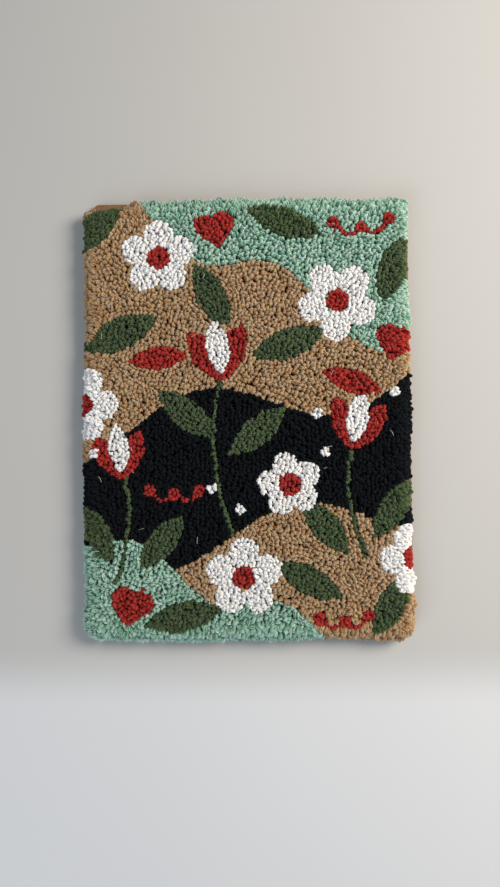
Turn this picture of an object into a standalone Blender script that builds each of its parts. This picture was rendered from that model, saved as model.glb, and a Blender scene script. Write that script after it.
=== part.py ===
# Punch needle wall piece: looped yarn pile on a woven cloth, glued to a thin hardboard panel.
# It lies on its back. X runs across the picture, Y up it and Z out of its face, in metres.
import math
import random

import bmesh
import bpy
from mathutils import Vector

# Board
BOARD_WIDTH = 0.180
BOARD_HEIGHT = 0.245
BOARD_THICKNESS = 0.004
BOARD_CORNER = 0.003
BOARD_CORNER_STEPS = 5
BOARD_EDGE_BEVEL = 0.0004
# The pile was glued on a little to the left of the board's middle, and a little low.
BOARD_SHIFT_X = 0.0027
BOARD_SHIFT_Y = 0.0015

# Gap that touching pieces keep
GAP = 0.0003

# Foundation cloth, trimmed inside the rim of the pile
CLOTH_THICKNESS = 0.001
CLOTH_INSET = 0.0070
CLOTH_STEPS_ACROSS = 48
CLOTH_STEPS_UP = 64

# Pile: its outline over the rim loops, and its corner radii
PILE_WIDTH = 0.1855
PILE_HEIGHT = 0.2505
PILE_THICKNESS = 0.007
CORNER_RADII = {"bottom_left": 0.0115, "bottom_right": 0.0085, "top_right": 0.0055, "top_left": 0.0055}

# Lumps on the face: one low peak for each cell of a grid that stops short of the rim
FACE_MARGIN = 0.0070
LUMPS_ACROSS = 29
LUMPS_UP = 40
LUMP_RISE = 0.0012
LUMP_JITTER_XY = 0.0011
LUMP_JITTER_Z = 0.0004
# Edges between lumps that are sharper than this, in degrees, stay crisp.
PILE_CRISP_ANGLE = 12

# Rim: each cell at the grid's edge carries one and a half locks of two points, one out and one in
RIM_CUTS = 2
LOCK_NOTCH = 0.0011
LOCK_JITTER = 0.0007
# Rows of the rim's profile from the face round to the underside:
# inset from the outline, height over the pile's underside as a share of its thickness, share of the notch
RIM_PROFILE = (
    {"inset": 0.0034, "height": 0.93, "notch": 0.4},
    {"inset": 0.0006, "height": 0.66, "notch": 1.0},
    {"inset": 0.0001, "height": 0.30, "notch": 1.0},
    {"inset": 0.0030, "height": 0.0, "notch": 0.0},
)

# Slow waves of the outline, and the stretch at the top left where the pile stops short of the board's edge
WAVE_DEPTH = 0.0005
WAVE_LENGTHS = (0.131, 0.053, 0.029)
WAVE_PHASES = {"left": 2.1, "right": 0.7, "bottom": 2.9, "top": 1.3}
SHORT_DEPTH = 0.0044
SHORT_LENGTH = 0.031
SHORT_FADE = 0.010
SHORT_REACH = 0.030

SEED = 11

# Base colour, roughness
COLOURS = {
    "backing_board": ((0.23, 0.125, 0.055), 0.62),
    "foundation_cloth": ((0.72, 0.66, 0.54), 0.92),
    "yarn_pile": ((0.34, 0.235, 0.13), 0.95),
}


def clear_scene():
    for obj in list(bpy.data.objects):
        bpy.data.objects.remove(obj, do_unlink=True)


def make_material(name):
    colour, roughness = COLOURS[name]
    material = bpy.data.materials.new(name)
    material.use_nodes = True
    shader = material.node_tree.nodes["Principled BSDF"]
    shader.inputs["Base Color"].default_value = (*colour, 1.0)
    shader.inputs["Roughness"].default_value = roughness
    shader.inputs["Metallic"].default_value = 0.0
    return material


def add_object(name, bm, collection, crisp_angle=None):
    bmesh.ops.recalc_face_normals(bm, faces=bm.faces)
    mesh = bpy.data.meshes.new(name)
    bm.to_mesh(mesh)
    bm.free()
    mesh.materials.append(make_material(name))
    if crisp_angle:
        mesh.shade_smooth()
        mesh.set_sharp_from_angle(angle=math.radians(crisp_angle))
    obj = bpy.data.objects.new(name, mesh)
    collection.objects.link(obj)
    return obj


def side_point(length, first_radius, last_radius, share):
    # A point on one side of the outline, from the middle of one corner's arc to the middle of the next,
    # as (distance along the side's line, distance out from that line).
    first_arc = first_radius * math.pi / 4
    last_arc = last_radius * math.pi / 4
    straight = length - first_radius - last_radius
    run = share * (first_arc + straight + last_arc)
    if run < first_arc:
        angle = run / first_radius - math.pi / 4
        return first_radius + first_radius * math.sin(angle), first_radius * (math.cos(angle) - 1)
    run -= first_arc
    if run <= straight:
        return first_radius + run, 0.0
    angle = (run - straight) / last_radius
    return length - last_radius + last_radius * math.sin(angle), last_radius * (math.cos(angle) - 1)


def outline_ring(inset, steps_across, steps_up):
    # The pile's outline moved in by inset: a closed ring, anticlockwise from the bottom left corner.
    half_x = PILE_WIDTH / 2 - inset
    half_y = PILE_HEIGHT / 2 - inset
    names = ("bottom_left", "bottom_right", "top_right", "top_left")
    starts = (Vector((-half_x, -half_y)), Vector((half_x, -half_y)),
              Vector((half_x, half_y)), Vector((-half_x, half_y)))
    ways = (Vector((1, 0)), Vector((0, 1)), Vector((-1, 0)), Vector((0, -1)))
    ring = []
    for side in range(4):
        along = ways[side]
        outward = Vector((along.y, -along.x))
        length = 2 * (half_x if side % 2 == 0 else half_y)
        steps = steps_across if side % 2 == 0 else steps_up
        first_radius = max(CORNER_RADII[names[side]] - inset, GAP)
        last_radius = max(CORNER_RADII[names[(side + 1) % 4]] - inset, GAP)
        for step in range(steps):
            run, out = side_point(length, first_radius, last_radius, step / steps)
            ring.append(starts[side] + along * run + outward * out)
    return ring


def smooth_step(value):
    value = min(max(value, 0.0), 1.0)
    return value * value * (3 - 2 * value)


def wave(distance, phase):
    total = 0.0
    for index, length in enumerate(WAVE_LENGTHS):
        total += math.sin(2 * math.pi * distance / length + phase * (index + 1)) / (index + 1)
    return total * WAVE_DEPTH


def make_uneven(bm):
    # Slow waves that grow towards the edges, and the short stretch at the top left corner.
    for vert in bm.verts:
        x, y = vert.co.x, vert.co.y
        side_x = x / (PILE_WIDTH / 2)
        side_y = y / (PILE_HEIGHT / 2)
        vert.co.x += wave(y, WAVE_PHASES["right" if x > 0 else "left"]) * side_x * abs(side_x)
        vert.co.y += wave(x, WAVE_PHASES["top" if y > 0 else "bottom"]) * side_y * abs(side_y)
        from_left = x + PILE_WIDTH / 2
        along = smooth_step((SHORT_LENGTH - from_left) / SHORT_FADE)
        near_top = smooth_step((y - PILE_HEIGHT / 2 + SHORT_REACH) / SHORT_REACH)
        vert.co.y -= SHORT_DEPTH * along * near_top


def fit_to_outline(bm):
    # Brings the widest and tallest reach of the pile back to its stated size, centred on the frame's origin.
    xs = [vert.co.x for vert in bm.verts]
    ys = [vert.co.y for vert in bm.verts]
    middle = ((min(xs) + max(xs)) / 2, (min(ys) + max(ys)) / 2, 0)
    bmesh.ops.translate(bm, verts=bm.verts, vec=[-value for value in middle])
    stretch = (PILE_WIDTH / (max(xs) - min(xs)), PILE_HEIGHT / (max(ys) - min(ys)), 1)
    bmesh.ops.scale(bm, verts=bm.verts, vec=stretch)


def ordered_boundary(bm):
    # The grid's open edge as a ring of vertices, anticlockwise from its bottom left corner.
    start = min(bm.verts, key=lambda vert: vert.co.x + vert.co.y)
    ring = [start]
    open_edges = [edge for edge in start.link_edges if edge.is_boundary]
    here = max(open_edges, key=lambda edge: edge.other_vert(start).co.x)
    while True:
        after = here.other_vert(ring[-1])
        if after is start:
            return ring
        ring.append(after)
        here = next(edge for edge in after.link_edges if edge.is_boundary and edge is not here)


def extrude_ring(bm, ring):
    # Extrudes the open edge and returns its new vertices in the ring's own order.
    open_edges = [edge for edge in bm.edges if edge.is_boundary]
    made = bmesh.ops.extrude_edge_only(bm, edges=open_edges)
    fresh = {item for item in made["geom"] if isinstance(item, bmesh.types.BMVert)}
    followers = []
    for vert in ring:
        neighbours = [edge.other_vert(vert) for edge in vert.link_edges]
        followers.append(next(neighbour for neighbour in neighbours if neighbour in fresh))
    return followers


def make_board(collection):
    bm = bmesh.new()
    bmesh.ops.create_cube(bm, size=1.0)
    bmesh.ops.scale(bm, verts=bm.verts, vec=(BOARD_WIDTH, BOARD_HEIGHT, BOARD_THICKNESS))
    bmesh.ops.translate(bm, verts=bm.verts, vec=(BOARD_SHIFT_X, BOARD_SHIFT_Y, BOARD_THICKNESS / 2))
    uprights = [edge for edge in bm.edges if edge.verts[0].co.xy == edge.verts[1].co.xy]
    bmesh.ops.bevel(bm, geom=uprights, offset=BOARD_CORNER, segments=BOARD_CORNER_STEPS, profile=0.5,
                    affect="EDGES", material=-1)
    board = add_object("backing_board", bm, collection)
    edges = board.modifiers.new("edges", "BEVEL")
    edges.width = BOARD_EDGE_BEVEL
    edges.segments = 2
    edges.limit_method = "ANGLE"
    edges.angle_limit = math.radians(60)
    return board


def make_cloth(collection):
    ring = outline_ring(CLOTH_INSET, CLOTH_STEPS_ACROSS, CLOTH_STEPS_UP)
    bm = bmesh.new()
    made = bmesh.ops.create_circle(bm, cap_ends=True, segments=len(ring), radius=1.0)
    for vert, place in zip(made["verts"], ring):
        vert.co = (place.x, place.y, BOARD_THICKNESS + GAP)
    raised = bmesh.ops.extrude_face_region(bm, geom=list(bm.faces), use_keep_orig=True)
    top = [item for item in raised["geom"] if isinstance(item, bmesh.types.BMVert)]
    bmesh.ops.translate(bm, verts=top, vec=(0, 0, CLOTH_THICKNESS))
    make_uneven(bm)
    return add_object("foundation_cloth", bm, collection)


def jitter(rng):
    return Vector((rng.uniform(-LUMP_JITTER_XY, LUMP_JITTER_XY),
                   rng.uniform(-LUMP_JITTER_XY, LUMP_JITTER_XY),
                   rng.uniform(-LUMP_JITTER_Z, LUMP_JITTER_Z)))


def make_pile(collection):
    rng = random.Random(SEED)
    underside = BOARD_THICKNESS + GAP + CLOTH_THICKNESS + GAP
    face = underside + PILE_THICKNESS - LUMP_RISE - LUMP_JITTER_Z
    bm = bmesh.new()
    bmesh.ops.create_grid(bm, x_segments=LUMPS_ACROSS, y_segments=LUMPS_UP, size=0.5)
    bmesh.ops.scale(bm, verts=bm.verts, vec=(PILE_WIDTH - 2 * FACE_MARGIN, PILE_HEIGHT - 2 * FACE_MARGIN, 1))
    bmesh.ops.translate(bm, verts=bm.verts, vec=(0, 0, face))
    for vert in bm.verts:
        if not vert.is_boundary:
            vert.co += jitter(rng)
    open_edges = [edge for edge in bm.edges if edge.is_boundary]
    bmesh.ops.bisect_edges(bm, edges=open_edges, cuts=RIM_CUTS)
    ring = ordered_boundary(bm)

    peaks = bmesh.ops.poke(bm, faces=list(bm.faces), offset=LUMP_RISE, center_mode="MEAN_WEIGHTED")["verts"]
    for vert in peaks:
        vert.co += jitter(rng)

    points_across = LUMPS_ACROSS * (RIM_CUTS + 1)
    points_up = LUMPS_UP * (RIM_CUTS + 1)
    pulls = [index % 2 + rng.uniform(0.0, LOCK_JITTER / LOCK_NOTCH) for index in range(len(ring))]
    for row in RIM_PROFILE:
        places = outline_ring(row["inset"], points_across, points_up)
        inner_places = outline_ring(row["inset"] + LOCK_NOTCH, points_across, points_up)
        ring = extrude_ring(bm, ring)
        for index, vert in enumerate(ring):
            place = places[index].lerp(inner_places[index], row["notch"] * pulls[index])
            vert.co = (place.x, place.y, underside + PILE_THICKNESS * row["height"])
    rim_edges = [edge for edge in bm.edges if edge.is_boundary]
    bmesh.ops.contextual_create(bm, geom=rim_edges)

    make_uneven(bm)
    fit_to_outline(bm)
    return add_object("yarn_pile", bm, collection, crisp_angle=PILE_CRISP_ANGLE)


def main():
    clear_scene()
    collection = bpy.data.collections.new("punch_needle_wall_piece")
    bpy.context.scene.collection.children.link(collection)
    make_board(collection)
    make_cloth(collection)
    make_pile(collection)


main()
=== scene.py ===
from math import atan2, ceil, cos, pi, radians, sin, sqrt

import bmesh
import bpy
import numpy as np
from mathutils import Matrix, Vector
from mathutils.kdtree import KDTree


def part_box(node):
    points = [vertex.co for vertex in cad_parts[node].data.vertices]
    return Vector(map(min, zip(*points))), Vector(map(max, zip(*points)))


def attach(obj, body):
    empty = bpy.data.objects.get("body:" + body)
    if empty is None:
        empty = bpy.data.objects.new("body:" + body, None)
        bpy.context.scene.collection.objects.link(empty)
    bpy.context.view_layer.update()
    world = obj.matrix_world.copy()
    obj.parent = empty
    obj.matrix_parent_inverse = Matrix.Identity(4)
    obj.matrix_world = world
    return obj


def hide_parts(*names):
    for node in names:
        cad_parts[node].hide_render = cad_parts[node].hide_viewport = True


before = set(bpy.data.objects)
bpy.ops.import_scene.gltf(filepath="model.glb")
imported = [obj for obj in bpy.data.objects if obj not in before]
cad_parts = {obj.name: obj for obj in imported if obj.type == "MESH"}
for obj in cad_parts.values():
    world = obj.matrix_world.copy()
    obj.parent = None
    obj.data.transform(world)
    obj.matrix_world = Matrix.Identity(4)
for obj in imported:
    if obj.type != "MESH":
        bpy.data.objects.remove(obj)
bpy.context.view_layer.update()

mm = 0.001
pileLow, pileHigh = (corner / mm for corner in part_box("yarn_pile"))
clothLow, clothHigh = (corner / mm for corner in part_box("foundation_cloth"))
boardLow, boardHigh = (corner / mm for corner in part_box("backing_board"))
print("frame loaded")


# Panel outline

outline = {
    "cornerRadii": {"bottomLeft": 11.5, "bottomRight": 8.5, "topRight": 5.5, "topLeft": 5.5},
    "cornerSteps": 9, "straightSteps": 64,
    "waveDepth": 0.5, "waveLengths": (131, 53, 29),
    "wavePhases": {"left": 2.1, "right": 0.7, "bottom": 2.9, "top": 1.3},
    "shortDepth": 4.4,  # the pile stops this short of the board's edge at the top left
    "shortLength": 31, "shortFade": 10, "shortReach": 30,
    "gridStep": 0.5, "gridMargin": 2.0,
}


def smoothStep(value):
    value = np.clip(value, 0, 1)
    return value * value * (3 - 2 * value)


def edgeWave(distance, side):
    total = 0
    for index, length in enumerate(outline["waveLengths"]):
        phase = outline["wavePhases"][side] * (index + 1)
        total = total + np.sin(2 * np.pi * distance / length + phase) / (index + 1)
    return total * outline["waveDepth"]


def makeUneven(points, halfX, halfY):
    # Slow waves along the edges, and the short stretch at the top left corner
    x, y = points.T
    sideX, sideY = x / halfX, y / halfY
    alongX = np.where(x > 0, edgeWave(y, "right"), edgeWave(y, "left"))
    alongY = np.where(y > 0, edgeWave(x, "top"), edgeWave(x, "bottom"))
    along = smoothStep((outline["shortLength"] - (x + halfX)) / outline["shortFade"])
    nearTop = smoothStep((y - halfY + outline["shortReach"]) / outline["shortReach"])
    newX = x + alongX * sideX * np.abs(sideX)
    newY = y + alongY * sideY * np.abs(sideY) - outline["shortDepth"] * along * nearTop
    return np.stack([newX, newY], 1)


def panelRing():
    # The pile's outline as a closed ring, fitted to its box in the frame
    halfX, halfY = (pileHigh - pileLow).xy / 2
    corners = ((-1, -1, 180), (1, -1, 270), (1, 1, 0), (-1, 1, 90))
    arcs = []
    for radius, (signX, signY, startAngle) in zip(outline["cornerRadii"].values(), corners):
        angles = np.radians(startAngle + np.linspace(0, 90, outline["cornerSteps"]))
        arcs.append(np.stack([signX * (halfX - radius) + radius * np.cos(angles),
                              signY * (halfY - radius) + radius * np.sin(angles)], 1))
    ring = []
    for arc, after in zip(arcs, arcs[1:] + arcs[:1]):
        ring.append(arc)
        shares = np.linspace(0, 1, outline["straightSteps"] + 1)[1:-1, None]
        ring.append(arc[-1] * (1 - shares) + after[0] * shares)
    ring = makeUneven(np.concatenate(ring), halfX, halfY)
    share = (ring - ring.min(0)) / (ring.max(0) - ring.min(0))
    return np.array(pileLow.xy) + share * np.array((pileHigh - pileLow).xy)


def gapToEdges(x, y, starts, ends):
    nearest = np.full(x.shape, 1e9)
    for start, edge in zip(starts, ends - starts):
        share = np.clip(((x - start[0]) * edge[0] + (y - start[1]) * edge[1]) / (edge @ edge), 0, 1)
        gap = np.hypot(x - start[0] - share * edge[0], y - start[1] - share * edge[1])
        nearest = np.minimum(nearest, gap)
    return nearest


def distanceInside(ring):
    # Distance of each grid point to the ring, positive inside it
    after = np.roll(ring, -1, axis=0)
    nearest = gapToEdges(gridX, gridY, ring, after)
    inside = np.zeros(gridX.shape, bool)
    for start, end in zip(ring, after):
        if start[1] != end[1]:
            crossing = start[0] + (end[0] - start[0]) * (gridY - start[1]) / (end[1] - start[1])
            inside ^= ((start[1] > gridY) != (end[1] > gridY)) & (gridX < crossing)
    return np.where(inside, nearest, -nearest)


def onGrid(x, y):
    return (x - gridX[0, 0]) / outline["gridStep"], (y - gridY[0, 0]) / outline["gridStep"]


def readGrid(field, x, y):
    # The field's value at a place between the grid's points
    column, row = onGrid(x, y)
    column = np.clip(column, 0, field.shape[1] - 1.001)
    row = np.clip(row, 0, field.shape[0] - 1.001)
    left, low = np.floor(column).astype(int), np.floor(row).astype(int)
    shareX, shareY = column - left, row - low
    lower, upper = (field[line, left] * (1 - shareX) + field[line, left + 1] * shareX
                    for line in (low, low + 1))
    return lower * (1 - shareY) + upper * shareY


def slope(field, x, y):
    # Direction in which the field grows fastest, as a unit vector
    step = outline["gridStep"]
    growX = readGrid(field, x + step, y) - readGrid(field, x - step, y)
    growY = readGrid(field, x, y + step) - readGrid(field, x, y - step)
    length = np.maximum(np.hypot(growX, growY), 1e-6)
    return growX / length, growY / length


margin = outline["gridMargin"]
gridX, gridY = np.meshgrid(*(np.arange(low - margin, high + margin, outline["gridStep"])
                             for low, high in zip(pileLow.xy, pileHigh.xy)))
edgeDepth = distanceInside(panelRing())
print("outline laid out")


# Picture: flowers, leaves and garlands over three waves of ground, each shape a distance field

picture = {
    "drawnWidth": 188,  # the shapes below are drawn on a panel this wide
    "stemWidth": 2.8, "petals": 5, "blossomCentre": 6.4, "seedRadius": 2.9,
    "garlandWidth": 2.6, "garlandDrop": 8, "beadRadius": 3.6,
    "steepness": (0.85, 0.8, 0.85),  # distance to the waves, black and mint, over height
}

# Height, swing, length, phase and rise of the lines between the grounds
waves = {
    "blackFrom": (-66, 13, 150, 0.4, 0.16),
    "blackTo": (6, 15, 160, 2.6, 0.20),
    "mintFrom": (86, 11, 95, 0.3, -0.52),
    "mintTo": (-104, 8, 80, 0.0, -0.42),
}

# Start, bend and end of each stem
stems = (
    ((-14, 26), (-26, -20), (-8, -66)),
    ((60, -14), (52, -44), (66, -78)),
    ((-70, -28), (-62, -60), (-74, -92)),
)

tulips = {
    "places": ((-14, 24, 34, 8), (60, -16, 32, -10), (-71, -32, 30, 6)),  # x, y, size and turn
    "outerLeaf": {"spread": 30, "width": 0.46, "away": 0.42},
    "cup": {"radius": 0.26, "away": 0.18},
    "middleLeaf": {"length": 0.95, "width": 0.40, "away": 0.5},
}

# x, y, length, width and turn of each leaf
leaves = {
    "green": (
        (-34, 2, 42, 17, 140), (6, -8, 42, 16, 40), (82, -52, 40, 16, 55), (44, -62, 38, 16, 130),
        (-84, -66, 34, 15, 115), (-48, -70, 38, 16, 50), (-72, 48, 46, 18, 25), (-20, 70, 40, 17, 118),
        (24, 42, 44, 17, 20), (84, 84, 40, 17, 70), (22, 112, 46, 17, -20), (-88, 108, 44, 17, 40),
        (-36, -112, 44, 17, 12), (34, -92, 42, 16, -28), (80, -106, 40, 16, 60),
    ),
    "red": ((-50, 34, 34, 13, 5), (60, 20, 36, 13, 160)),
}

# x, y, radius of the ring of petals, radius of a petal, and turn
blossoms = ((-50, 92, 13, 8.6, 18), (52, 66, 14, 9, 50), (-2, -90, 13.5, 8.8, 90),
            (24, -38, 11, 7.4, 30), (-94, 8, 13, 8.4, 0), (94, -80, 12, 8, 36))

# Garlands: cords that hang between beads
garlands = (
    ((50, 111), (66, 108), (82, 113)),
    ((-55, -41), (-41, -43), (-27, -41)),
    ((40, -113), (54, -115), (67, -112)),
)

hearts = ((84, 40, 19, -12), (-17, 106, 19, 12), (-66, -108, 20, -14))  # x, y, size and turn

seeds = ((40, 2), (-4, -52), (84, 14), (-20, -40), (-88, -20), (44, -20))

pictureFit = (pileHigh.x - pileLow.x) / picture["drawnWidth"]
drawnX, drawnY = gridX / pictureFit, gridY / pictureFit


def away(x, y, distance, turn):
    return x + distance * cos(radians(turn)), y + distance * sin(radians(turn))


def turned(x, y, turn):
    cosine, sine = cos(radians(turn)), sin(radians(turn))
    fromX, fromY = drawnX - x, drawnY - y
    return fromX * cosine + fromY * sine, fromY * cosine - fromX * sine


def discShape(x, y, radius):
    return np.hypot(drawnX - x, drawnY - y) - radius


def leafShape(x, y, length, width, turn):
    # Two equal arcs that meet in points
    along, across = turned(x, y, turn)
    arcRadius = (length * length + width * width) / (4 * width)
    return np.hypot(along, np.abs(across) + arcRadius - width / 2) - arcRadius


def blossomShape(x, y, ring, petal, turn):
    turns = [turn + 360 * index / picture["petals"] for index in range(picture["petals"])]
    return np.min([discShape(*away(x, y, ring, turn), petal) for turn in turns], axis=0)


def heartShape(x, y, size, turn):
    along, across = turned(x, y, turn)
    along = np.abs(along) / size
    across = across / size + 0.5
    lobe = np.hypot(along - 0.25, across - 0.75) - sqrt(2) / 4
    share = 0.5 * np.maximum(along + across, 0)
    notch = np.hypot(along, across - 1)
    side = np.hypot(along - share, across - share)
    tip = np.minimum(notch, side) * np.sign(along - across)
    return size * np.where(along + across > 1, lobe, tip)


def stemShape(points, width):
    start, bend, end = (np.array(point, float) for point in points)
    share = np.linspace(0, 1, 24)[:, None]
    route = (1 - share) ** 2 * start + 2 * share * (1 - share) * bend + share ** 2 * end
    return gapToEdges(drawnX, drawnY, route[:-1], route[1:]) - width / 2


def waveLine(name):
    height, swing, length, phase, rise = waves[name]
    return height + swing * np.sin(2 * np.pi * drawnX / length + phase) + rise * drawnX


def addTulip(shapes, x, y, size, turn):
    upright = turn + 90
    cup = tulips["cup"]
    outer = discShape(*away(x, y, cup["away"] * size, upright), cup["radius"] * size)
    leaf = tulips["outerLeaf"]
    for heading in (upright - leaf["spread"], upright + leaf["spread"]):
        place = away(x, y, leaf["away"] * size, heading)
        outer = np.minimum(outer, leafShape(*place, size, leaf["width"] * size, heading))
    leaf = tulips["middleLeaf"]
    place = away(x, y, leaf["away"] * size, upright)
    middle = leafShape(*place, leaf["length"] * size, leaf["width"] * size, upright)
    shapes += [("red", outer), ("white", middle)]


def drawPicture():
    # Each shape's yarn and distance, negative inside it, in the order in which they cover
    black, mintOver, mintUnder = picture["steepness"]
    band = np.maximum(waveLine("blackFrom") - drawnY, drawnY - waveLine("blackTo"))
    shapes = [
        ("camel", np.full(gridX.shape, -1e3)),
        ("black", band * black),
        ("mint", (waveLine("mintFrom") - drawnY) * mintOver),
        ("mint", (drawnY - waveLine("mintTo")) * mintUnder),
    ]
    shapes += [("green", stemShape(points, picture["stemWidth"])) for points in stems]
    for place in tulips["places"]:
        addTulip(shapes, *place)
    for yarn, places in leaves.items():
        shapes += [(yarn, leafShape(*place)) for place in places]
    for x, y, *sizes in blossoms:
        shapes.append(("white", blossomShape(x, y, *sizes)))
        shapes.append(("red", discShape(x, y, picture["blossomCentre"])))
    for beads in garlands:
        for start, end in zip(beads[:-1], beads[1:]):
            low = ((start[0] + end[0]) / 2, min(start[1], end[1]) - picture["garlandDrop"])
            shapes.append(("red", stemShape((start, low, end), picture["garlandWidth"])))
        shapes += [("red", discShape(*bead, picture["beadRadius"])) for bead in beads]
    shapes += [("red", heartShape(*heart)) for heart in hearts]
    shapes += [("white", discShape(*seed, picture["seedRadius"])) for seed in seeds]
    return shapes


def visibleRegions(shapes):
    # Depth inside what still shows of each shape, and which shape shows at each point
    regions = []
    cover = np.full(gridX.shape, 1e3)
    for yarn, distance in reversed(shapes):
        distance = distance * pictureFit
        depth = np.minimum(np.minimum(-distance, cover), edgeDepth)
        if depth.max() > 0:
            regions.append({"yarn": yarn, "depth": depth})
        cover = np.minimum(cover, distance)
    return regions, np.argmax([region["depth"] for region in regions], axis=0)


regions, regionAt = visibleRegions(drawPicture())
print("picture drawn,", len(regions), "regions")


# Stitches: rows that echo each region's edge, and upright rows in the black ground

rows = {
    "pitch": 2.36, "strideJitter": 0.09, "firstDepth": 1.15,
    "nearest": 1.80,  # a stitch comes no nearer to another
    "gap": 1.72,  # a gap wider than this from its middle gets a stitch of its own
    "stretches": (1.0, 1.3, 1.6),  # a stride that would crowd another stitch is made longer
    "offRow": 0.4,  # a stitch strays no further from its row
    "narrow": 0.8,  # how deep the single row of a narrow region lies
    "beside": 0.7,  # gap in pitches between the edge's row and the straight rows
    "straightYarn": "black", "straightAngle": 90,
    "easeRounds": 5, "easeReach": 2.5, "easeStep": 0.22,
    "keepInside": 0.75, "seed": 23,
}

rng = np.random.default_rng(rows["seed"])
reach = np.full(gridX.shape, 1e3)  # distance from each grid point to the nearest stitch
stitches = []


def addStitch(x, y, heading, region):
    stitches.append((x, y, heading, region))
    column, row = (int(round(value)) for value in onGrid(x, y))
    around = int(2.5 * rows["pitch"] / outline["gridStep"])
    part = (slice(max(row - around, 0), row + around + 1),
            slice(max(column - around, 0), column + around + 1))
    reach[part] = np.minimum(reach[part], np.hypot(gridX[part] - x, gridY[part] - y))


def rowDirection(depth, x, y, straight):
    if straight is not None:
        return cos(straight), sin(straight)
    growX, growY = slope(depth, x, y)
    return -growY, growX


def walkRow(region, level, x, y, side, straight):
    # Stitches from a place along its row, until it is full or the region ends
    depth = regions[region]["depth"]
    wayX, wayY = (side * way for way in rowDirection(depth, x, y, straight))
    while True:
        for stretch in rows["stretches"]:
            stride = rows["pitch"] * stretch * (1 + rng.uniform(-1, 1) * rows["strideJitter"])
            newX, newY = x + wayX * stride, y + wayY * stride
            if straight is None:
                for _ in range(2):
                    growX, growY = slope(depth, newX, newY)
                    short = level - readGrid(depth, newX, newY)
                    newX += growX * short
                    newY += growY * short
            deep = readGrid(depth, newX, newY)
            tooDeep = straight is None and deep >= level + rows["offRow"]
            onRow = deep > level - rows["offRow"] and not tooDeep
            if onRow and readGrid(reach, newX, newY) > rows["nearest"]:
                break
        else:
            return
        turnX, turnY = rowDirection(depth, newX, newY, straight)
        if turnX * (newX - x) + turnY * (newY - y) < 0:
            turnX, turnY = -turnX, -turnY
        addStitch(newX, newY, atan2(turnY, turnX), region)
        x, y, wayX, wayY = newX, newY, turnX, turnY


def fillRow(region, level, onRow, straight=None):
    # Starts on each free place of a row and walks both ways from it
    depth = regions[region]["depth"]
    for row, column in np.argwhere(onRow & (reach > rows["nearest"])):
        if reach[row, column] <= rows["nearest"]:
            continue
        x, y = gridX[row, column], gridY[row, column]
        wayX, wayY = rowDirection(depth, x, y, straight)
        addStitch(x, y, atan2(wayY, wayX), region)
        walkRow(region, level, x, y, 1, straight)
        walkRow(region, level, x, y, -1, straight)


def stitchRegion(region):
    depth = regions[region]["depth"]
    own = regionAt == region
    half = outline["gridStep"] * 0.55
    level = rows["firstDepth"]
    if regions[region]["yarn"] == rows["straightYarn"]:
        fillRow(region, level, own & (np.abs(depth - level) < half))
        angle = radians(rows["straightAngle"])
        inner = level + rows["beside"] * rows["pitch"]
        acrossRows = gridX * sin(angle) - gridY * cos(angle)
        fromRow = np.abs((acrossRows / rows["pitch"]) % 1 - 0.5) * rows["pitch"]
        fillRow(region, inner, own & (depth > inner) & (fromRow < half), angle)
        return
    if depth.max() < level:
        level = rows["narrow"] * depth.max()
    while level < depth.max():
        fillRow(region, level, own & (np.abs(depth - level) < half))
        level += rows["pitch"]


def fillGaps():
    worked = edgeDepth > 0.9 * rows["firstDepth"]
    while True:
        row, column = np.unravel_index(np.argmax(np.where(worked, reach, 0)), reach.shape)
        if reach[row, column] < rows["gap"]:
            return
        x, y = gridX[row, column], gridY[row, column]
        region = int(regionAt[row, column])
        growX, growY = slope(regions[region]["depth"], x, y)
        addStitch(x, y, atan2(growX, -growY), region)


def easeStitches(table):
    # Crowded stitches push each other apart, each inside its own region
    places = table[:, :2].copy()
    owners = table[:, 3].astype(int)
    for _ in range(rows["easeRounds"]):
        tree = KDTree(len(places))
        for index, (x, y) in enumerate(places):
            tree.insert((x, y, 0), index)
        tree.balance()
        pushes = np.zeros_like(places)
        for index, (x, y) in enumerate(places):
            for other, _, gap in tree.find_range((x, y, 0), rows["easeReach"]):
                if 0 < gap:
                    force = (1 - gap / rows["easeReach"]) / gap
                    pushes[index] += ((x - other.x) * force, (y - other.y) * force)
        moved = places + pushes * rows["easeStep"]
        for region in range(len(regions)):
            mine = owners == region
            depth = regions[region]["depth"]
            before = readGrid(depth, *places[mine].T)
            after = readGrid(depth, *moved[mine].T)
            stays = after >= np.minimum(before, rows["keepInside"])
            places[mine] = np.where(stays[:, None], moved[mine], places[mine])
    table[:, :2] = places
    return table


for region in range(len(regions)):
    stitchRegion(region)
walked = len(stitches)
fillGaps()
stitchTable = easeStitches(np.array(stitches))
print("stitches:", walked, "in rows,", len(stitches) - walked, "in gaps")


# Yarn loop: three plies twisted, up out of the cloth, over an arch and down again

loopShape = {
    "plies": 3,
    "crest": 0.92,  # radius over a ply
    "groove": 0.66,  # radius between two plies
    "swell": ((0, 1.6), (0.82, 1.62), (0.93, 1.25), (1, 1)),  # how full it is, from cloth to arch
    "height": 6.3,  # of the arch's middle line over the cloth
    "archHalfWidth": 0.60, "archRise": 1.15,
    "archAngles": (180, 144, 108, 72, 36, 0),
    "rootHalfWidth": 0.45, "splay": 4,
    "twist": 28,  # turn of the plies from one station to the next
}

longLoopShape = dict(loopShape, archAngles=(180, 156, 132, 108, 84, 60, 36, 12, 0), twist=20)


def loopStations(shape):
    # Middle line as (across, up, direction of travel in degrees from upright)
    arch = []
    for angle in shape["archAngles"]:
        across = shape["archHalfWidth"] * cos(radians(angle))
        up = shape["height"] + shape["archRise"] * (sin(radians(angle)) - 1)
        arch.append((across, up, 180 - angle))
    foot = shape["rootHalfWidth"]
    return [(-foot, 0.0, -shape["splay"]), *arch, (foot, 0.0, 180 + shape["splay"])]


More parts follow.
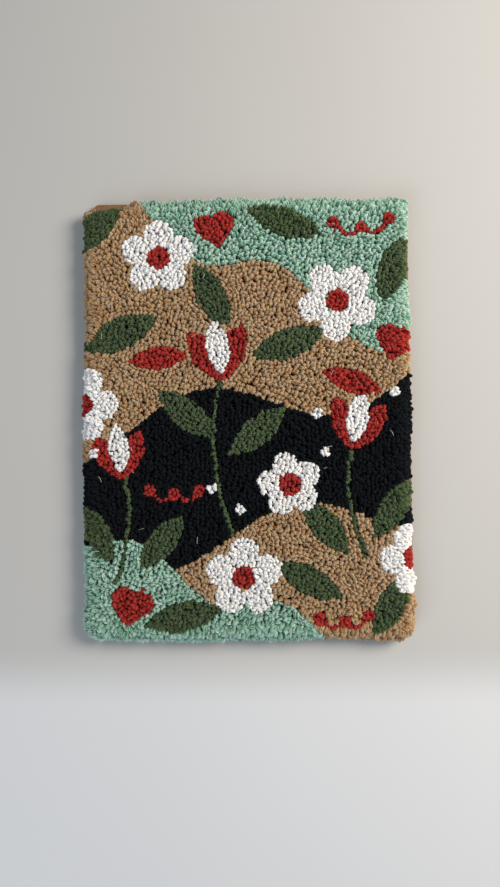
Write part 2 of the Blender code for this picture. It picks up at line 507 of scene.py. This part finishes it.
def stationMatrix(across, up, travel, twist):
    place = Matrix.Translation((across, 0, up))
    return place @ Matrix.Rotation(radians(travel), 4, "Y") @ Matrix.Rotation(twist, 4, "Z")


def makeTube(radii, places):
    # A closed tube through places, which are matrices, and each point's ring and angle
    bm = bmesh.new()
    station = bm.verts.layers.int.new("station")
    around = bm.verts.layers.float.new("around")
    ring = bmesh.ops.create_circle(bm, segments=len(radii), radius=1)["verts"]
    for index, (vert, radius) in enumerate(zip(ring, radii)):
        vert.co *= radius
        vert[around] = 2 * pi * index / len(radii)
    bmesh.ops.transform(bm, matrix=places[0], verts=ring)
    edges = list(bm.edges)
    for index, (before, after) in enumerate(zip(places[:-1], places[1:]), 1):
        made = bmesh.ops.extrude_edge_only(bm, edges=edges)["geom"]
        ring = [item for item in made if isinstance(item, bmesh.types.BMVert)]
        edges = [item for item in made if isinstance(item, bmesh.types.BMEdge)]
        edges = [edge for edge in edges if edge.verts[0] in ring and edge.verts[1] in ring]
        bmesh.ops.transform(bm, matrix=after @ before.inverted(), verts=ring)
        for vert in ring:
            vert[station] = index
    ends = [edge for edge in bm.edges if edge.is_boundary]
    bmesh.ops.holes_fill(bm, edges=ends, sides=len(radii))
    bmesh.ops.recalc_face_normals(bm, faces=bm.faces)
    bm.verts.index_update()
    tube = {
        "faces": [[vert.index for vert in face.verts] for face in bm.faces],
        "points": np.array([vert.co for vert in bm.verts]),
        "station": np.array([vert[station] for vert in bm.verts]),
        "angle": np.array([vert[around] for vert in bm.verts]),
    }
    bm.free()
    return tube


def makeLoopTemplate(shape):
    stations = loopStations(shape)
    places = [stationMatrix(*place, radians(shape["twist"]) * index) for index, place in enumerate(stations)]
    tube = makeTube((shape["crest"], shape["groove"]) * shape["plies"], places)
    middle = np.array([(across, 0, up) for across, up, _ in stations])[tube["station"]]
    section = tube["points"] - middle
    rise = middle[:, 2] / shape["height"]
    run = tube["station"] / (len(stations) - 1)
    return tube | {
        "across": middle[:, 0],
        "rise": rise,
        "section": section,
        "swell": np.interp(rise, *zip(*shape["swell"])),
        "ply": (np.linalg.norm(section, axis=1) > (shape["crest"] + shape["groove"]) / 2) * 1.0,
        "fibre": np.stack([np.cos(tube["angle"]), np.sin(tube["angle"]), run], 1),
    }


def bendLoops(template, loops):
    # Every loop's points: the template bent from root to top, its section around it
    rise = template["rise"][None, :, None]
    root, bend, top = (loops[key][:, None, :] for key in ("root", "bend", "top"))
    line = (1 - rise) ** 2 * root + 2 * rise * (1 - rise) * bend + rise ** 2 * top
    travel = 2 * (1 - rise) * (bend - root) + 2 * rise * (top - bend)
    travel /= np.linalg.norm(travel, axis=2, keepdims=True)
    turn = loops["turn"][:, None] + loops["curl"][:, None] * (template["rise"][None, :] - 1)
    flat = np.stack([np.cos(turn), np.sin(turn), np.zeros_like(turn)], 2)
    across = flat - (flat * travel).sum(2, keepdims=True) * travel
    across /= np.linalg.norm(across, axis=2, keepdims=True)
    through = np.cross(travel, across)
    section = (template["section"] * template["swell"][:, None])[None] * loops["thick"][:, None, None]
    aside = template["across"][None] * loops["wide"][:, None]
    return (line + across * (aside[..., None] + section[..., :1])
            + through * section[..., 1:2] + travel * section[..., 2:])


def meshFromCopies(name, template, points, attributes):
    # One mesh of all the copies, with the template's faces for each
    count, each = points.shape[:2]
    faces = [[first + corner for corner in face]
             for first in range(0, count * each, each) for face in template["faces"]]
    mesh = bpy.data.meshes.new(name)
    mesh.from_pydata((points * mm).reshape(-1, 3), [], faces)
    mesh.validate()
    for key, values in attributes.items():
        kind, field = ("FLOAT", "value") if values.ndim == 2 else ("FLOAT_VECTOR", "vector")
        attribute = mesh.attributes.new(key, kind, "POINT")
        values = np.broadcast_to(values, (count, each, *values.shape[2:]))
        attribute.data.foreach_set(field, values.astype(np.float32).ravel())
    mesh.shade_smooth()
    return mesh


def addObject(name, data):
    made = bpy.data.objects.new(name, data)
    bpy.context.scene.collection.objects.link(made)
    return made


def addPiece(name, mesh, material, slot, node):
    piece = addObject(name, mesh)
    mesh.materials.append(material)
    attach(piece, "root")
    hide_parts(node)
    return piece


def meshFrom(bm, name):
    mesh = bpy.data.meshes.new(name)
    bm.to_mesh(mesh)
    bm.free()
    mesh.shade_smooth()
    return mesh


# Pile: where each loop's root and top lie, its size and its shade

pile = {
    "heightJitter": 0.40, "slowSwell": 0.25, "lean": 0.48,
    "layAngle": 45,  # turn of the arches from their row
    "layJitter": 24, "flipped": 0.13,
    "slantShare": 0.45, "slantAngle": 62,  # this share of the loops lies along one slant instead
    "curl": 24, "wide": (0.65, 1.32), "thick": (0.90, 1.20),
    "rimRows": 3.2,  # loops nearer the outline than this lie along it
    "rimLay": 16, "rimJitter": 0.55,
    "rimShift": 7.4, "rimReach": 16, "rimPower": 1.7,  # how far in a rim loop comes out of the cloth
    "rimLift": 0.16, "rimWiden": 0.30,
    "shoulder": 7.0,  # the face starts to fall this far from the outline
    "shoulderPower": 2.2, "outward": 0.35, "swellLength": 17,
    "toneSpread": 0.28, "toneSwell": 0.12, "toneLength": 31,
}

skirt = {
    "rows": ((0.7, 1.9), (1.1, 0.35)),  # how far inside the outline, and how high over the cloth
    "pitch": 2.7, "insetJitter": 0.55, "heightJitter": 0.35,
    "wide": (1.3, 2.1), "lay": 16, "rootInset": 7.6, "lift": 1.6,
    "sourceInset": 2.2,  # its yarn is the one that shows this far in
}


def slowNoise(x, y, length, seed):
    # Smooth random swells about a length apart, between -1 and 1
    turns = np.random.default_rng(seed).uniform(0, 2 * np.pi, (6, 2))
    total = np.zeros_like(x)
    for angle, phase in turns:
        total += np.sin((x * cos(angle) + y * sin(angle)) * 2 * np.pi / length + phase)
    return total / len(turns) ** 0.5 / 1.5


def spread(count, low, high):
    return rng.uniform(low, high, count)


def pileLoops(table):
    x, y, heading, region = table.T
    count = len(table)
    depth = np.maximum(readGrid(edgeDepth, x, y), 0.6)
    inX, inY = slope(edgeDepth, x, y)
    inward = np.stack([inX, inY], 1)
    shift = pile["rimShift"] * np.clip(1 - depth / pile["rimReach"], 0, 1) ** pile["rimPower"]
    fall = np.clip(1 - depth / pile["shoulder"], 0, 1) ** pile["shoulderPower"]
    swell = slowNoise(x, y, pile["swellLength"], 5)
    height = loopShape["height"] * np.sqrt(1 - fall)
    height += (swell * pile["slowSwell"] + rng.normal(0, pile["heightJitter"], count)) * np.sqrt(1 - fall)

    base = np.full(count, clothHigh.z)
    root = np.stack([x + inX * shift, y + inY * shift, base], 1)
    rim = smoothStep(1.5 - depth / pile["rimRows"])
    lean = rng.normal(0, pile["lean"], (count, 2))
    lean *= np.clip(depth / pile["rimRows"], 0.3, 1)[:, None]
    lean += inward * (rng.normal(0, pile["rimJitter"], count) * rim)[:, None]
    top = np.stack([x + lean[:, 0], y + lean[:, 1], base + height], 1)
    bend = 0.5 * (root + top)
    bend[:, :2] += inward * (shift * pile["outward"])[:, None]
    bend[:, 2] += pile["rimLift"] * shift

    side = np.where(rng.random(count) < pile["flipped"], -1, 1)
    lay = np.radians(pile["layAngle"]) * side
    slanted = rng.random(count) < pile["slantShare"]
    inner = np.where(slanted, radians(pile["slantAngle"]), heading + lay)
    inner += rng.normal(0, radians(pile["layJitter"]), count)
    edgeHeading = np.arctan2(inX, -inY)
    # Near the rim the arch turns along the edge, the shorter way round
    turnBy = (edgeHeading + rng.normal(0, radians(pile["rimLay"]), count) - inner + np.pi / 2) % np.pi
    turn = inner + (turnBy - np.pi / 2) * rim

    tone = 0.5 + rng.normal(0, pile["toneSpread"], count)
    tone = tone + slowNoise(x, y, pile["toneLength"], 9) * pile["toneSwell"]
    return {
        "root": root, "bend": bend, "top": top,
        "turn": turn,
        "curl": rng.normal(0, radians(pile["curl"]), count),
        "wide": spread(count, *pile["wide"]) * (1 + pile["rimWiden"] * rim),
        "thick": spread(count, *pile["thick"]),
        "tone": np.clip(tone, 0, 1),
        "region": region.astype(int),
    }


def skirtLoops(rowInset, rowHeight):
    # A row of wider loops that hang over the board's edge, under the rim
    ring = panelRing()
    closed = np.concatenate([ring, ring[:1]])
    starts = np.concatenate([[0], np.cumsum(np.hypot(*np.diff(closed, axis=0).T))])
    count = int(starts[-1] / skirt["pitch"])
    places = (np.arange(count) + spread(count, -0.25, 0.25)) * starts[-1] / count
    x, y = (np.interp(places % starts[-1], starts, side) for side in closed.T)
    inX, inY = slope(edgeDepth, x, y)
    inward = np.stack([inX, inY, np.zeros(count)], 1)
    edge = np.stack([x, y, np.full(count, clothHigh.z)], 1)
    inset = rowInset + rng.normal(0, skirt["insetJitter"], count)
    root = edge + inward * skirt["rootInset"]
    top = edge + inward * inset[:, None]
    top[:, 2] += rowHeight + rng.normal(0, skirt["heightJitter"], count)
    bend = 0.55 * root + 0.45 * top
    bend[:, 2] = clothHigh.z + skirt["lift"] + 0.5 * rowHeight
    source = edge + inward * skirt["sourceInset"]
    column, row = (np.rint(value).astype(int) for value in onGrid(*source[:, :2].T))
    return {
        "root": root, "bend": bend, "top": top,
        "turn": np.arctan2(inX, -inY) + rng.normal(0, radians(skirt["lay"]), count),
        "curl": rng.normal(0, radians(pile["curl"]), count) * 0.5,
        "wide": spread(count, *skirt["wide"]),
        "thick": spread(count, *pile["thick"]),
        "tone": np.clip(0.45 + rng.normal(0, pile["toneSpread"], count), 0, 1),
        "region": regionAt[row, column],
    }


# Shader graph written as arithmetic

def operator(operation, reflected=False):
    def calculate(wire, other):
        first, second = (other, wire) if reflected else (wire, other)
        return wire.finish.add("ShaderNodeMath", {"operation": operation}, {0: first, 1: second})
    return calculate


class Wire:
    # A shader value to calculate with like a number
    def __init__(self, finish, socket):
        self.finish = finish
        self.socket = socket

    __add__ = operator("ADD")
    __radd__ = operator("ADD", reflected=True)
    __sub__ = operator("SUBTRACT")
    __rsub__ = operator("SUBTRACT", reflected=True)
    __mul__ = operator("MULTIPLY")
    __rmul__ = operator("MULTIPLY", reflected=True)


class Finish:
    # One material and its nodes
    def __init__(self, name, fixed):
        self.material = bpy.data.materials.new(name)
        self.material.use_nodes = True
        self.tree = self.material.node_tree
        self.shader = self.tree.nodes["Principled BSDF"]
        for socket, value in fixed.items():
            self.shader.inputs[socket].default_value = value

    def plug(self, socket, value):
        if isinstance(value, Wire):
            self.tree.links.new(value.socket, socket)
        else:
            socket.default_value = value

    def add(self, kind, settings, values, output=0):
        node = self.tree.nodes.new(kind)
        for key, value in settings.items():
            if key == "stops":
                stops = node.color_ramp.elements
                for index, (place, colour) in enumerate(value):
                    if index > 1:
                        stops.new(place)
                    stops[index].position = place
                    stops[index].color = (*colour, 1)
            else:
                setattr(node, key, value)
        for socket, value in values.items():
            self.plug(node.inputs[socket], value)
        return Wire(self, node.outputs[output])

    def objectPlace(self):
        return self.add("ShaderNodeTexCoord", {}, {}, "Object")

    def attribute(self, name, output="Fac"):
        return self.add("ShaderNodeAttribute", {"attribute_name": name}, {}, output)

    def noise(self, place, scale, stretch=(1, 1, 1), detail=3.0, roughness=0.55):
        place = self.add("ShaderNodeMapping", {}, {"Vector": place, "Scale": stretch})
        values = {"Vector": place, "Scale": scale, "Detail": detail, "Roughness": roughness}
        return self.add("ShaderNodeTexNoise", {}, values, "Fac")

    def parts(self, vector):
        node = self.add("ShaderNodeSeparateXYZ", {}, {"Vector": vector}).socket.node
        return [Wire(self, output) for output in node.outputs]

    def vector(self, x, y, z):
        return self.add("ShaderNodeCombineXYZ", {}, {"X": x, "Y": y, "Z": z})

    def wave(self, angle):
        # Between 0 and 1
        turn = self.add("ShaderNodeMath", {"operation": "COSINE"}, {0: angle})
        return turn * 0.5 + 0.5

    def ramp(self, value, stops):
        return self.add("ShaderNodeValToRGB", {"stops": stops}, {"Fac": value})

    def blend(self, share, first, second, mode="MIX"):
        colours = {"Factor": share, 6: first, 7: second}
        return self.add("ShaderNodeMix", {"data_type": "RGBA", "blend_type": mode}, colours, 2)

    def between(self, value, low, high):
        # Grows smoothly from 0 at low to 1 at high
        values = {"Value": value, "From Min": low, "From Max": high}
        return self.add("ShaderNodeMapRange", {"interpolation_type": "SMOOTHSTEP"}, values)

    def raiseSurface(self, height, strength, distance):
        values = {"Strength": strength, "Distance": distance, "Height": height}
        normal = self.add("ShaderNodeBump", {}, values)
        self.plug(self.shader.inputs["Normal"], normal)

    def show(self, colour, rough, roughness):
        # rough runs from 0 at the lower roughness to 1 at the higher
        low, high = roughness
        self.plug(self.shader.inputs["Base Color"], colour)
        self.plug(self.shader.inputs["Roughness"], rough * (high - low) + low)
        return self.material


# Yarns: linear colours of the dark parts, which are also the colour of the painted shade in the
# grooves and down the sides of the loops, the body and its light streaks, an odd one that some
# loops have, and how far red, green and blue light reach into the fibres

yarns = {
    "camel": {
        "deep": (0.210, 0.096, 0.024), "body": (0.398, 0.292, 0.174), "light": (0.517, 0.424, 0.324),
        "odd": (0.52, 0.34, 0.16), "sheen": 0.08, "reach": (1.0, 0.60, 0.35),
    },
    "black": {
        "deep": (0.0028, 0.0032, 0.0040), "body": (0.0046, 0.0060, 0.0078),
        "light": (0.0055, 0.0066, 0.0086), "odd": (0.0075, 0.0090, 0.0125), "sheen": 0.0,
        "reach": (1.0, 1.0, 1.0),
    },
    "mint": {
        "deep": (0.050, 0.160, 0.092), "body": (0.440, 0.610, 0.505), "light": (0.448, 0.534, 0.484),
        "odd": (0.25, 0.47, 0.36), "sheen": 0.12, "reach": (0.55, 1.0, 0.75),
    },
    "green": {
        "deep": (0.011, 0.024, 0.006), "body": (0.064, 0.095, 0.038), "light": (0.116, 0.151, 0.0774),
        "odd": (0.095, 0.110, 0.038), "sheen": 0.10, "reach": (0.65, 1.0, 0.4),
    },
    "red": {
        "deep": (0.140, 0.002, 0.001), "body": (0.405, 0.026, 0.021), "light": (0.408, 0.0729, 0.0604),
        "odd": (0.46, 0.048, 0.024), "sheen": 0.04, "reach": (1.0, 0.25, 0.2),
    },
    "white": {
        "deep": (0.68, 0.66, 0.64), "body": (0.67, 0.66, 0.65), "light": (0.709, 0.694, 0.678),
        "odd": (0.70, 0.64, 0.585), "sheen": 0.06, "reach": (1.0, 0.9, 0.85),
    },
}

yarnLook = {
    "gloss": 0.07, "sheenRoughness": 0.5,
    "soft": 0.6,  # share of the light that goes into the fibres
    "softDepth": 0.0009,  # metres
    "streakStretch": (1.0, 1.0, 2.2), "streakScale": 2.8, "streakRoughness": 0.65,
    "strands": 5,  # fine strands around the yarn
    "toneShare": 0.36, "streakShare": 0.26, "strandShare": 0.38,
    "stops": (0.27, 0.5, 0.501),  # shades for deep, light and body
    # painted shade: the grooves between the plies blend towards the deep colour
    "groovePaintedShade": 0.52,
    "footPaintedShade": 0.82,  # painted shade, deeper in colour down the sides of a loop
    "oddFrom": (0.88, 0.92), "oddShare": 0.45,
    "bump": (0.9, 0.00040),  # strength, and depth in metres
    "bumpShares": (0.5, 0.6, 0.5),  # of the streaks, the strands and the plies
    "roughness": (0.86, 1.0),
    "loopShift": (61, 37, 83),
}

loopRun = 14  # length of a loop along its yarn, against a turn of 1 around it


def yarnMaterial(name, yarn):
    fixed = {"Sheen Weight": yarn["sheen"], "Sheen Roughness": yarnLook["sheenRoughness"],
             "Specular IOR Level": yarnLook["gloss"], "Subsurface Weight": yarnLook["soft"],
             "Subsurface Scale": yarnLook["softDepth"], "Subsurface Radius": yarn["reach"]}
    finish = Finish("yarn_" + name, fixed)
    tone, ply, odd = (finish.attribute(key) for key in ("tone", "ply", "odd"))
    across, through, run = finish.parts(finish.attribute("fibre", "Vector"))
    shiftX, shiftY, shiftZ = yarnLook["loopShift"]
    place = finish.vector(across + odd * shiftX, through + odd * shiftY, run + odd * shiftZ)
    streaks = finish.noise(place, yarnLook["streakScale"], yarnLook["streakStretch"],
                           roughness=yarnLook["streakRoughness"])
    around = finish.add("ShaderNodeMath", {"operation": "ARCTAN2"}, {0: through, 1: across})
    strand = finish.wave(around * yarnLook["strands"])
    shade = (tone * yarnLook["toneShare"] + streaks * yarnLook["streakShare"]
             + strand * yarnLook["strandShare"])
    stops = zip(yarnLook["stops"], (yarn["deep"], yarn["light"], yarn["body"]))
    colour = finish.ramp(shade, stops)
    isOdd = finish.between(odd, *yarnLook["oddFrom"])
    colour = finish.blend(isOdd * yarnLook["oddShare"], colour, (*yarn["odd"], 1))
    # Painted shade in the grooves between the plies
    colour = finish.blend((1 - ply) * yarnLook["groovePaintedShade"], colour, (*yarn["deep"], 1))
    # Painted shade: towards the deep colour down the sides of each loop, none at its top
    crown = finish.wave((run - loopRun / 2) * (2 * pi / loopRun))
    colour = finish.blend((1 - crown) * yarnLook["footPaintedShade"], colour, (*yarn["deep"], 1))
    ofStreaks, ofStrands, ofPlies = yarnLook["bumpShares"]
    height = streaks * ofStreaks + strand * ofStrands + ply * ofPlies
    finish.raiseSurface(height, *yarnLook["bump"])
    return finish.show(colour, streaks, yarnLook["roughness"])


def yarnMesh(name, parts):
    # Joins the copies of each template into one mesh
    bm = bmesh.new()
    for template, loops in parts:
        count = len(loops["tone"])
        if count:
            attributes = {
                "tone": loops["tone"][:, None],
                "odd": rng.random((count, 1)),
                "ply": template["ply"][None],
                "fibre": (template["fibre"] * (1, 1, loopRun))[None],
            }
            mesh = meshFromCopies(name, template, bendLoops(template, loops), attributes)
            bm.from_mesh(mesh)
            bpy.data.meshes.remove(mesh)
    return meshFrom(bm, name)


pieceLimit = 1900  # loops in one piece
hangingWeight = 1.5  # a hanging loop counts as this many


def makePile():
    loops = pileLoops(stitchTable)
    hangingRows = [skirtLoops(*row) for row in skirt["rows"]]
    hanging = {key: np.concatenate([row[key] for row in hangingRows]) for key in hangingRows[0]}
    kinds = ((makeLoopTemplate(loopShape), loops), (makeLoopTemplate(longLoopShape), hanging))
    pieces = []
    for name, yarn in yarns.items():
        material = yarnMaterial(name, yarn)
        slot = "yarn" if name == "camel" else "yarn_" + name
        mine = [index for index, region in enumerate(regions) if region["yarn"] == name]
        orders = []
        for _, loops in kinds:
            chosen = np.flatnonzero(np.isin(loops["region"], mine))
            orders.append(chosen[np.argsort(loops["top"][chosen, 1], kind="stable")])
        split = ceil((len(orders[0]) + hangingWeight * len(orders[1])) / pieceLimit)
        groups = zip(*(np.array_split(order, split) for order in orders))
        for index, group in enumerate(groups):
            pieceName = name + "Loops" + (str(index + 1) if split > 1 else "")
            parts = [(template, {key: values[order] for key, values in loops.items()})
                     for (template, loops), order in zip(kinds, group)]
            mesh = yarnMesh(pieceName, parts)
            pieces.append(addPiece(pieceName, mesh, material, slot, "yarn_pile"))
            print(pieceName, sum(len(order) for order in group), "loops")
    return pieces


yarnPieces = makePile()


# Foundation cloth: an even weave, trimmed inside the rim of the pile

cloth = {
    "threadPitch": 2.7, "inset": 7.0, "relief": 0.12, "thickness": 0.7,
}

threadEnds = {
    "pitch": 2.0,
    "held": 0.8,  # this much of each end lies on the cloth
    "fromCorner": 1.5, "jitter": 0.2, "slant": 0.25,
    "length": (1.2, 3.4), "rise": (-0.25, 0.15), "bow": 0, "arch": 0.1,
    "radius": (0.165, 0.275), "sides": 5, "stations": 4,
}


def makeCloth():
    size = (clothHigh - clothLow).xy
    columns, lines = (round(side / cloth["threadPitch"]) for side in size)
    bm = bmesh.new()
    bmesh.ops.create_grid(bm, x_segments=columns, y_segments=lines, size=0.5)
    bmesh.ops.scale(bm, verts=bm.verts, vec=(*size, 1))
    middle = (clothHigh + clothLow) / 2
    level = clothHigh.z - cloth["relief"]
    bmesh.ops.translate(bm, verts=bm.verts, vec=(middle.x, middle.y, level))
    outside = [face for face in bm.faces
               if readGrid(edgeDepth, *face.calc_center_median().xy) < cloth["inset"]]
    bmesh.ops.delete(bm, geom=outside, context="FACES")
    for vert in bm.verts:
        crossing = sum(round(side / cloth["threadPitch"]) for side in (vert.co - clothLow).xy)
        vert.co.z += cloth["relief"] * (1 if crossing % 2 else -1)
    bmesh.ops.solidify(bm, geom=bm.faces, thickness=cloth["thickness"])
    bmesh.ops.recalc_face_normals(bm, faces=bm.faces)
    bmesh.ops.scale(bm, verts=bm.verts, vec=(mm, mm, mm))
    return meshFrom(bm, "foundationCloth")


clothLook = {
    "fixed": {"Sheen Weight": 0.2, "Sheen Roughness": 0.5},
    "thread": 2.0,
    "dark": (0.50, 0.44, 0.34), "pale": (0.76, 0.70, 0.58),
    "bump": (0.6, 0.0002), "roughness": (0.85, 0.95),
}


def clothMaterial():
    finish = Finish("wovenCloth", clothLook["fixed"])
    place = finish.objectPlace()
    perMetre = 1 / (clothLook["thread"] * mm)
    slubs = finish.noise(place, 1.0, (perMetre, perMetre * 0.1, 1))
    slubsUp = finish.noise(place, 1.0, (perMetre * 0.1, perMetre, 1))
    fibres = finish.noise(place, perMetre * 4)
    shade = (slubs + slubsUp) * 0.35 + fibres * 0.3
    colour = finish.ramp(shade, ((0.30, clothLook["dark"]), (0.68, clothLook["pale"])))
    finish.raiseSurface(shade, *clothLook["bump"])
    return finish.show(colour, fibres, clothLook["roughness"])


def strandMesh(name, settings, start, level, way):
    # Bowed strands that start at one height, each on its own way over the surface
    count = len(start)
    length = spread(count, *settings["length"])[:, None]
    root = np.column_stack([start, np.full(count, level)])
    top = np.column_stack([start + way * length, level + spread(count, *settings["rise"])])
    bend = 0.5 * (root + top)
    if settings["bow"]:
        bend[:, :2] += rng.normal(0, settings["bow"], (count, 2))
    bend[:, 2] += settings["arch"]
    strands = {"root": root, "bend": bend, "top": top, "turn": np.arctan2(way[:, 1], way[:, 0]) + pi / 2,
               "curl": np.zeros(count), "wide": np.ones(count), "thick": spread(count, *settings["radius"])}
    heights = np.linspace(0, 1, settings["stations"])
    tube = makeTube([1] * settings["sides"], [Matrix.Translation((0, 0, height)) for height in heights])
    points = tube["points"]
    template = tube | {"across": np.zeros(len(points)), "rise": points[:, 2],
                       "section": points * (1, 1, 0), "swell": np.ones(len(points))}
    return meshFromCopies(name, template, bendLoops(template, strands), {})


def makeThreadEnds():
    # Short frayed ends of the cloth's threads, pointing out of its four sides
    ends = []
    for axis in (0, 1):
        for sign, edge in ((-1, clothLow[axis]), (1, clothHigh[axis])):
            other = 1 - axis
            corner = threadEnds["fromCorner"]
            along = np.arange(clothLow[other] + corner, clothHigh[other] - corner, threadEnds["pitch"])
            place = np.full((len(along), 2), edge - sign * threadEnds["held"])
            place[:, other] = along + rng.normal(0, threadEnds["jitter"], len(along))
            way = np.full((len(along), 2), 1.0 * sign)
            way[:, other] = rng.normal(0, threadEnds["slant"], len(along))
            ends.append((place, way))
    start, way = (np.concatenate(part) for part in zip(*ends))
    tooFarOut = cloth["inset"] + threadEnds["held"] - readGrid(edgeDepth, *start.T)
    start -= way * np.clip(tooFarOut, 0, None)[:, None]
    level = clothHigh.z - cloth["relief"] - cloth["thickness"] / 2
    return strandMesh("clothThreadEnds", threadEnds, start, level, way)


# Loose fibres: a few hairs of white yarn over the pile

strays = {
    "count": 26, "keepInside": 9,
    "level": 7.07,  # over the cloth
    "length": (1.6, 4.4), "rise": (-0.3, 0.6), "bow": 0.9, "arch": 0.35,
    "radius": (0.0525, 0.09), "sides": 4, "stations": 7,
}


def makeLooseFibres():
    count, keep = strays["count"], strays["keepInside"]
    x = spread(count, pileLow.x + keep, pileHigh.x - keep)
    y = spread(count, pileLow.y + keep, pileHigh.y - keep)
    angle = spread(count, 0, 2 * pi)
    way = np.stack([np.cos(angle), np.sin(angle)], 1)
    level = clothHigh.z + strays["level"]
    return strandMesh("looseFibres", strays, np.stack([x, y], 1), level, way)


whiteYarn = bpy.data.materials["yarn_white"]
yarnPieces.append(addPiece("looseFibres", makeLooseFibres(), whiteYarn, "yarn_white", "yarn_pile"))

woven = (clothMaterial(), "woven_cloth", "foundation_cloth")
clothPiece = addPiece("foundationCloth", makeCloth(), *woven)
endsPiece = addPiece("clothThreadEnds", makeThreadEnds(), *woven)
print("cloth made,", len(clothPiece.data.polygons), "faces")


# Board: brown hardboard, paler and rougher where it was sawn

boardLook = {
    "fixed": {"Specular IOR Level": 0.45},
    "dark": (0.115, 0.058, 0.024), "brown": (0.22, 0.120, 0.052),
    "fleck": (0.36, 0.22, 0.11), "sawn": (0.195, 0.114, 0.053),
    "sawnFrom": 0.45,  # mm in from either face
    "cloudScale": 90, "fibreScale": 1400, "fleckScale": 2600, "layerScale": 1500,
    "flecks": (0.62, 0.72), "fleckShare": 0.7,
    "bump": (0.5, 0.00012), "roughness": (0.42, 0.68),
}


def boardMaterial():
    finish = Finish("hardboard", boardLook["fixed"])
    place = finish.objectPlace()
    clouds = finish.noise(place, boardLook["cloudScale"])
    fibres = finish.noise(place, boardLook["fibreScale"], (1, 0.22, 1), roughness=0.7)
    flecks = finish.noise(place, boardLook["fleckScale"], (0.35, 1, 1), detail=2.0)
    shade = clouds * 0.45 + fibres * 0.55
    colour = finish.ramp(shade, ((0.34, boardLook["dark"]), (0.62, boardLook["brown"])))
    isFleck = finish.between(flecks, *boardLook["flecks"])
    colour = finish.blend(isFleck * boardLook["fleckShare"], colour, (*boardLook["fleck"], 1))
    height = finish.parts(place)[2]
    back, face = boardLow.z * mm, boardHigh.z * mm
    start = boardLook["sawnFrom"] * mm
    fromBack = finish.between(height, back + 0.3 * start, back + start)
    sawn = fromBack * (1 - finish.between(height, face - start, face - 0.3 * start))
    layers = finish.noise(place, boardLook["layerScale"], (0.3, 0.3, 4), detail=2.0)
    sawnColour = finish.ramp(layers, ((0.3, boardLook["brown"]), (0.7, boardLook["sawn"])))
    colour = finish.blend(sawn, colour, sawnColour)
    finish.raiseSurface(fibres + sawn * layers, *boardLook["bump"])
    return finish.show(colour, fibres * 0.6 + sawn * 0.4, boardLook["roughness"])


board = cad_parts["backing_board"]
hardboard = boardMaterial()
for slot in board.material_slots:
    slot.material = hardboard
print("board finished")


# Floor, light and camera

# In metres
floor = {
    "size": 6.0, "drop": 0.0001,
    # Painted light: the floor is painted lighter below a line across it, fading over between turnsFrom and
    # turnsTo
    "above": (0.356, 0.346, 0.332),
    "litBelow": (0.470, 0.469, 0.475),
    "turnsFrom": -0.165, "turnsTo": -0.128,
    "clouds": 0.06, "cloudScale": 5,
    "roughness": (0.85, 0.95),
}


def makeFloor():
    bm = bmesh.new()
    bmesh.ops.create_grid(bm, x_segments=1, y_segments=1, size=floor["size"] / 2)
    bmesh.ops.translate(bm, verts=bm.verts, vec=(0, 0, -floor["drop"]))
    piece = addObject("floor", meshFrom(bm, "floor"))
    finish = Finish("floorPaper", {"Specular IOR Level": 0.2})
    place = finish.objectPlace()
    clouds = finish.noise(place, floor["cloudScale"], detail=2.0)
    # Painted light: the floor turns lighter towards the bottom
    share = finish.between(finish.parts(place)[1], floor["turnsFrom"], floor["turnsTo"])
    colour = finish.blend(share, (*floor["litBelow"], 1), (*floor["above"], 1))
    shade = (clouds - 0.5) * floor["clouds"] + 1
    colour = finish.blend(1.0, colour, finish.vector(shade, shade, shade), "MULTIPLY")
    piece.data.materials.append(finish.show(colour, clouds, floor["roughness"]))


# Places in metres, size of the lamp's face in metres, power in watts
lamps = {
    "windowLight": {"place": (0.61, 0.24, 0.55), "size": 0.46, "power": 12.0, "colour": (1.0, 0.93, 0.835)},
    "skyFill": {"place": (-0.60, -0.80, 0.80), "size": 1.0, "power": 10, "colour": (0.76, 0.87, 1.0)},
}

worldLight = {"colour": (0.86, 0.93, 1.0), "strength": 0.34}

camera = {
    "viewAngle": 64,
    "slide": (-0.00184, 0.01458, -0.3981),  # metres
    "tiltX": -0.03792, "tiltY": -0.01409, "turn": 0.0080,  # radians
    "rimHeight": 9.0,
}


def makeLamps():
    for name, settings in lamps.items():
        lamp = bpy.data.lights.new(name, "AREA")
        lamp.shape = "DISK"
        lamp.size = settings["size"]
        lamp.energy = settings["power"]
        lamp.color = settings["colour"]
        holder = addObject(name, lamp)
        holder.location = settings["place"]
        holder.rotation_euler = (-holder.location).to_track_quat("-Z", "Y").to_euler()
    world = bpy.data.worlds.new("studio")
    world.use_nodes = True
    background = world.node_tree.nodes["Background"]
    background.inputs["Color"].default_value = (*worldLight["colour"], 1)
    background.inputs["Strength"].default_value = worldLight["strength"]
    bpy.context.scene.world = world
    bpy.context.scene.view_settings.view_transform = "Standard"


def makeCamera():
    # The tilts turn the panel under the camera, so the camera takes the opposite turn
    turn = (Matrix.Rotation(camera["turn"], 3, "Z") @ Matrix.Rotation(camera["tiltY"], 3, "Y")
            @ Matrix.Rotation(camera["tiltX"], 3, "X"))
    lens = bpy.data.cameras.new("camera")
    lens.sensor_fit = "VERTICAL"
    lens.angle = radians(camera["viewAngle"])
    lens.clip_start = 0.01
    holder = addObject("camera", lens)
    back = turn.transposed()
    place = Vector((0, 0, camera["rimHeight"] * mm)) - back @ Vector(camera["slide"])
    holder.matrix_world = Matrix.Translation(place) @ back.to_4x4()
    bpy.context.scene.camera = holder


makeFloor()
makeLamps()
makeCamera()
